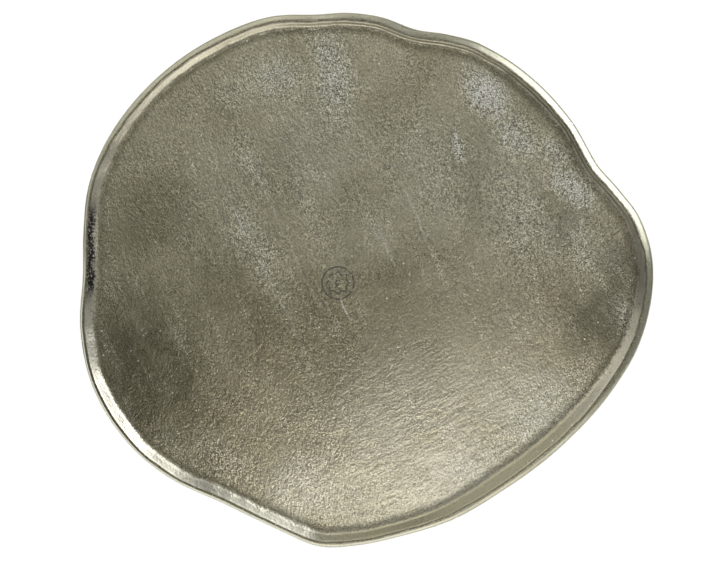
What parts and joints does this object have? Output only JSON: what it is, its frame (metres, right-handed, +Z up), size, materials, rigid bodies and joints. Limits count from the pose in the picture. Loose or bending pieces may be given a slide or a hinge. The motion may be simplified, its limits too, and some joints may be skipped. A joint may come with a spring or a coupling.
{
  "type": "serving tray",
  "caption": "Shallow sand-cast metal serving tray with a free-form, softly lobed outline, a raised rounded rim, a grained floor and stick-on pads underneath.",
  "frame": {"origin": "centre of the outline's bounding box, on the plane that the pads stand on", "axes": "+Z up out of the tray; +X along its longest extent, towards the edge that bulges furthest to the right in the usual view from above; +Y to the top of that view"},
  "size_m": [0.4, 0.373, 0.011],
  "materials": {
    "cast_metal": "sand-cast grain with a pale antique brass tone, patches rubbed bright, polished lip",
    "pad_rubber": "matt black moulded rubber"
  },
  "bodies": {
    "root": {"tray": "cast_metal", "foot_pad_1": "pad_rubber", "foot_pad_2": "pad_rubber", "foot_pad_3": "pad_rubber", "foot_pad_4": "pad_rubber"}
  },
  "joints": []
}
